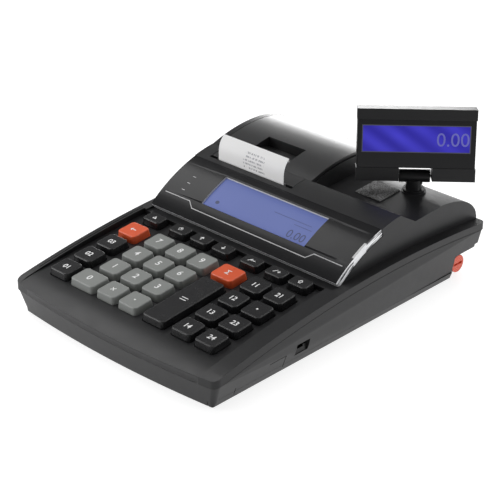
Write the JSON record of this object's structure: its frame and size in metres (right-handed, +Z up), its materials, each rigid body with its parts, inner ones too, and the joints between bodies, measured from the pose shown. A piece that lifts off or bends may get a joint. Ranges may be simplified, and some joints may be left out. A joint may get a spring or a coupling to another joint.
{
  "type": "ticket register",
  "caption": "Portable ticket register: sloping keypad with separate travelling keys, curved display housing, hinged printer cover over a paper roll, and a swivelling, tilting customer display.",
  "frame": {"origin": "centre of the bounding box's bottom face, on the table under the rubber feet", "axes": "+X to the operator's right across the keys, +Y from the keys to the rear, +Z up"},
  "size_m": [0.174, 0.2533, 0.1117],
  "materials": {
    "lower_shell": "fine moulded texture, charcoal",
    "upper_shell": "fine moulded texture, charcoal",
    "clear_panel": "clear acrylic painted black on its back around a window",
    "display_module": "periwinkle backlit display",
    "silicone": "translucent silicone",
    "circuit_board": "green solder mask",
    "battery_sleeve": "shrink sleeve",
    "zinc_steel": "zinc-plated sheet steel",
    "ceramic": "glazed ceramic",
    "motor_can": "drawn steel can",
    "gear_plastic": "natural acetal",
    "platen_rubber": "ground rubber sleeve",
    "paper": "thermal paper",
    "cover_plastic": "satin charcoal",
    "steel_pin": "ground steel",
    "foot_rubber": "soft black rubber",
    "pad_texture": "speckled rough rubber",
    "red_plastic": "red moulded plastic",
    "post_plastic": "black moulded plastic",
    "smoked_window": "dark tinted window",
    "blue_display": "saturated blue backlit display",
    "black_key": "black moulded caps",
    "grey_key": "mid grey moulded caps",
    "orange_key": "orange moulded caps"
  },
  "bodies": {
    "base": {"bottom_case": "lower_shell", "top_case": "upper_shell", "fascia_lens": "clear_panel", "operator_lcd": "display_module", "key_mat": "silicone", "keyboard_board": "circuit_board", "main_board": "circuit_board", "battery_pack": "battery_sleeve", "printer_frame": "zinc_steel", "thermal_head": "ceramic", "printer_motor": "motor_can", "paper_sheet": "paper", "cover_hinge_pin": "steel_pin", "rubber_feet": "foot_rubber", "case_screws": "zinc_steel", "deck_pad": "pad_texture"},
    "cover": {"printer_cover": "cover_plastic", "tear_bar": "steel_pin"},
    "platen": {"platen_roller": "platen_rubber"},
    "motor_gear": {"drive_gear": "gear_plastic"},
    "roll": {"paper_roll": "paper"},
    "swivel": {"swivel_post": "post_plastic"},
    "display_head": {"head_shell": "post_plastic", "head_window": "smoked_window", "head_lcd": "blue_display", "tilt_pin": "steel_pin"},
    "plug": {"seal_plug": "red_plastic"},
    "key_f1_cap": {"key_f1": "black_key"},
    "key_f2_cap": {"key_f2": "black_key"},
    "key_f3_cap": {"key_f3": "black_key"},
    "key_clear_cap": {"key_clear": "orange_key"},
    "key_feed_cap": {"key_feed": "black_key"},
    "key_0_cap": {"key_0": "grey_key"},
    "key_1_cap": {"key_1": "grey_key"},
    "key_4_cap": {"key_4": "grey_key"},
    "key_7_cap": {"key_7": "grey_key"},
    "key_power_cap": {"key_power": "black_key"},
    "key_times_cap": {"key_times": "grey_key"},
    "key_2_cap": {"key_2": "grey_key"},
    "key_5_cap": {"key_5": "grey_key"},
    "key_8_cap": {"key_8": "grey_key"},
    "key_up_cap": {"key_up": "black_key"},
    "key_point_cap": {"key_point": "grey_key"},
    "key_3_cap": {"key_3": "grey_key"},
    "key_6_cap": {"key_6": "grey_key"},
    "key_9_cap": {"key_9": "grey_key"},
    "key_down_cap": {"key_down": "black_key"},
    "key_total_cap": {"key_total": "black_key"},
    "key_subtotal_cap": {"key_subtotal": "orange_key"},
    "key_minus_cap": {"key_minus": "black_key"},
    "key_d4_cap": {"key_d4": "black_key"},
    "key_d3_cap": {"key_d3": "black_key"},
    "key_d2_cap": {"key_d2": "black_key"},
    "key_d1_cap": {"key_d1": "black_key"},
    "key_plus_cap": {"key_plus": "black_key"},
    "key_p1_cap": {"key_p1": "black_key"},
    "key_p2_cap": {"key_p2": "black_key"},
    "key_p3_cap": {"key_p3": "black_key"},
    "key_p4_cap": {"key_p4": "black_key"},
    "key_shift_cap": {"key_shift": "black_key"}
  },
  "joints": [
    {"name": "cover_hinge", "type": "hinge", "parent": "base", "child": "cover", "pos_m": [0, 0.1181, 0.0483], "axis": [-1, 0, 0], "range_deg": [0, 85], "deforming": ["paper_sheet"]},
    {"name": "platen_spin", "type": "hinge", "parent": "cover", "child": "platen", "pos_m": [0, 0.0381, 0.0508], "axis": [1, 0, 0], "continuous": true},
    {"name": "motor_gear_spin", "type": "hinge", "parent": "base", "child": "motor_gear", "pos_m": [0, 0.03459, 0.03932], "axis": [1, 0, 0], "continuous": true},
    {"name": "roll_spin", "type": "hinge", "parent": "base", "child": "roll", "pos_m": [0, 0.0786, 0.0368], "axis": [1, 0, 0], "continuous": true},
    {"name": "display_swivel", "type": "hinge", "parent": "base", "child": "swivel", "pos_m": [0.0525, 0.0926, 0.0608], "axis": [0, 0, 1], "range_deg": [-135, 135]},
    {"name": "display_tilt", "type": "hinge", "parent": "swivel", "child": "display_head", "pos_m": [0.0525, 0.0926, 0.0662], "axis": [0.7466, 0.6652, 0], "range_deg": [-30, 20]},
    {"name": "plug_turn", "type": "hinge", "parent": "base", "child": "plug", "pos_m": [0.078, 0.1051, 0.0091], "axis": [1, 0, 0], "range_deg": [0, 90]},
    {"name": "key_f1_press", "type": "slide", "parent": "base", "child": "key_f1_cap", "axis": [0, -0.0936, 0.9956], "range_m": [-0.0022, 0], "stiffness_N_per_m": 250, "springref_m": 0.0006},
    {"name": "key_f2_press", "type": "slide", "parent": "base", "child": "key_f2_cap", "axis": [0, -0.0936, 0.9956], "range_m": [-0.0022, 0], "stiffness_N_per_m": 250, "springref_m": 0.0006},
    {"name": "key_f3_press", "type": "slide", "parent": "base", "child": "key_f3_cap", "axis": [0, -0.0936, 0.9956], "range_m": [-0.0022, 0], "stiffness_N_per_m": 250, "springref_m": 0.0006},
    {"name": "key_clear_press", "type": "slide", "parent": "base", "child": "key_clear_cap", "axis": [0, -0.0936, 0.9956], "range_m": [-0.0022, 0], "stiffness_N_per_m": 250, "springref_m": 0.0006},
    {"name": "key_feed_press", "type": "slide", "parent": "base", "child": "key_feed_cap", "axis": [0, -0.0936, 0.9956], "range_m": [-0.0022, 0], "stiffness_N_per_m": 250, "springref_m": 0.0006},
    {"name": "key_0_press", "type": "slide", "parent": "base", "child": "key_0_cap", "axis": [0, -0.0936, 0.9956], "range_m": [-0.0022, 0], "stiffness_N_per_m": 250, "springref_m": 0.0006},
    {"name": "key_1_press", "type": "slide", "parent": "base", "child": "key_1_cap", "axis": [0, -0.0936, 0.9956], "range_m": [-0.0022, 0], "stiffness_N_per_m": 250, "springref_m": 0.0006},
    {"name": "key_4_press", "type": "slide", "parent": "base", "child": "key_4_cap", "axis": [0, -0.0936, 0.9956], "range_m": [-0.0022, 0], "stiffness_N_per_m": 250, "springref_m": 0.0006},
    {"name": "key_7_press", "type": "slide", "parent": "base", "child": "key_7_cap", "axis": [0, -0.0936, 0.9956], "range_m": [-0.0022, 0], "stiffness_N_per_m": 250, "springref_m": 0.0006},
    {"name": "key_power_press", "type": "slide", "parent": "base", "child": "key_power_cap", "axis": [0, -0.0936, 0.9956], "range_m": [-0.0022, 0], "stiffness_N_per_m": 250, "springref_m": 0.0006},
    {"name": "key_times_press", "type": "slide", "parent": "base", "child": "key_times_cap", "axis": [0, -0.0936, 0.9956], "range_m": [-0.0022, 0], "stiffness_N_per_m": 250, "springref_m": 0.0006},
    {"name": "key_2_press", "type": "slide", "parent": "base", "child": "key_2_cap", "axis": [0, -0.0936, 0.9956], "range_m": [-0.0022, 0], "stiffness_N_per_m": 250, "springref_m": 0.0006},
    {"name": "key_5_press", "type": "slide", "parent": "base", "child": "key_5_cap", "axis": [0, -0.0936, 0.9956], "range_m": [-0.0022, 0], "stiffness_N_per_m": 250, "springref_m": 0.0006},
    {"name": "key_8_press", "type": "slide", "parent": "base", "child": "key_8_cap", "axis": [0, -0.0936, 0.9956], "range_m": [-0.0022, 0], "stiffness_N_per_m": 250, "springref_m": 0.0006},
    {"name": "key_up_press", "type": "slide", "parent": "base", "child": "key_up_cap", "axis": [0, -0.0936, 0.9956], "range_m": [-0.0022, 0], "stiffness_N_per_m": 250, "springref_m": 0.0006},
    {"name": "key_point_press", "type": "slide", "parent": "base", "child": "key_point_cap", "axis": [0, -0.0936, 0.9956], "range_m": [-0.0022, 0], "stiffness_N_per_m": 250, "springref_m": 0.0006},
    {"name": "key_3_press", "type": "slide", "parent": "base", "child": "key_3_cap", "axis": [0, -0.0936, 0.9956], "range_m": [-0.0022, 0], "stiffness_N_per_m": 250, "springref_m": 0.0006},
    {"name": "key_6_press", "type": "slide", "parent": "base", "child": "key_6_cap", "axis": [0, -0.0936, 0.9956], "range_m": [-0.0022, 0], "stiffness_N_per_m": 250, "springref_m": 0.0006},
    {"name": "key_9_press", "type": "slide", "parent": "base", "child": "key_9_cap", "axis": [0, -0.0936, 0.9956], "range_m": [-0.0022, 0], "stiffness_N_per_m": 250, "springref_m": 0.0006},
    {"name": "key_down_press", "type": "slide", "parent": "base", "child": "key_down_cap", "axis": [0, -0.0936, 0.9956], "range_m": [-0.0022, 0], "stiffness_N_per_m": 250, "springref_m": 0.0006},
    {"name": "key_total_press", "type": "slide", "parent": "base", "child": "key_total_cap", "axis": [0, -0.0936, 0.9956], "range_m": [-0.0022, 0], "stiffness_N_per_m": 250, "springref_m": 0.0006},
    {"name": "key_subtotal_press", "type": "slide", "parent": "base", "child": "key_subtotal_cap", "axis": [0, -0.0936, 0.9956], "range_m": [-0.0022, 0], "stiffness_N_per_m": 250, "springref_m": 0.0006},
    {"name": "key_minus_press", "type": "slide", "parent": "base", "child": "key_minus_cap", "axis": [0, -0.0936, 0.9956], "range_m": [-0.0022, 0], "stiffness_N_per_m": 250, "springref_m": 0.0006},
    {"name": "key_d4_press", "type": "slide", "parent": "base", "child": "key_d4_cap", "axis": [0, -0.0936, 0.9956], "range_m": [-0.0022, 0], "stiffness_N_per_m": 250, "springref_m": 0.0006},
    {"name": "key_d3_press", "type": "slide", "parent": "base", "child": "key_d3_cap", "axis": [0, -0.0936, 0.9956], "range_m": [-0.0022, 0], "stiffness_N_per_m": 250, "springref_m": 0.0006},
    {"name": "key_d2_press", "type": "slide", "parent": "base", "child": "key_d2_cap", "axis": [0, -0.0936, 0.9956], "range_m": [-0.0022, 0], "stiffness_N_per_m": 250, "springref_m": 0.0006},
    {"name": "key_d1_press", "type": "slide", "parent": "base", "child": "key_d1_cap", "axis": [0, -0.0936, 0.9956], "range_m": [-0.0022, 0], "stiffness_N_per_m": 250, "springref_m": 0.0006},
    {"name": "key_plus_press", "type": "slide", "parent": "base", "child": "key_plus_cap", "axis": [0, -0.0936, 0.9956], "range_m": [-0.0022, 0], "stiffness_N_per_m": 250, "springref_m": 0.0006},
    {"name": "key_p1_press", "type": "slide", "parent": "base", "child": "key_p1_cap", "axis": [0, -0.0936, 0.9956], "range_m": [-0.0022, 0], "stiffness_N_per_m": 250, "springref_m": 0.0006},
    {"name": "key_p2_press", "type": "slide", "parent": "base", "child": "key_p2_cap", "axis": [0, -0.0936, 0.9956], "range_m": [-0.0022, 0], "stiffness_N_per_m": 250, "springref_m": 0.0006},
    {"name": "key_p3_press", "type": "slide", "parent": "base", "child": "key_p3_cap", "axis": [0, -0.0936, 0.9956], "range_m": [-0.0022, 0], "stiffness_N_per_m": 250, "springref_m": 0.0006},
    {"name": "key_p4_press", "type": "slide", "parent": "base", "child": "key_p4_cap", "axis": [0, -0.0936, 0.9956], "range_m": [-0.0022, 0], "stiffness_N_per_m": 250, "springref_m": 0.0006},
    {"name": "key_shift_press", "type": "slide", "parent": "base", "child": "key_shift_cap", "axis": [0, -0.0936, 0.9956], "range_m": [-0.0022, 0], "stiffness_N_per_m": 250, "springref_m": 0.0006}
  ],
  "couplings": [
    {"joint": "motor_gear_spin", "follows": "platen_spin", "ratio": -1.1429}
  ]
}
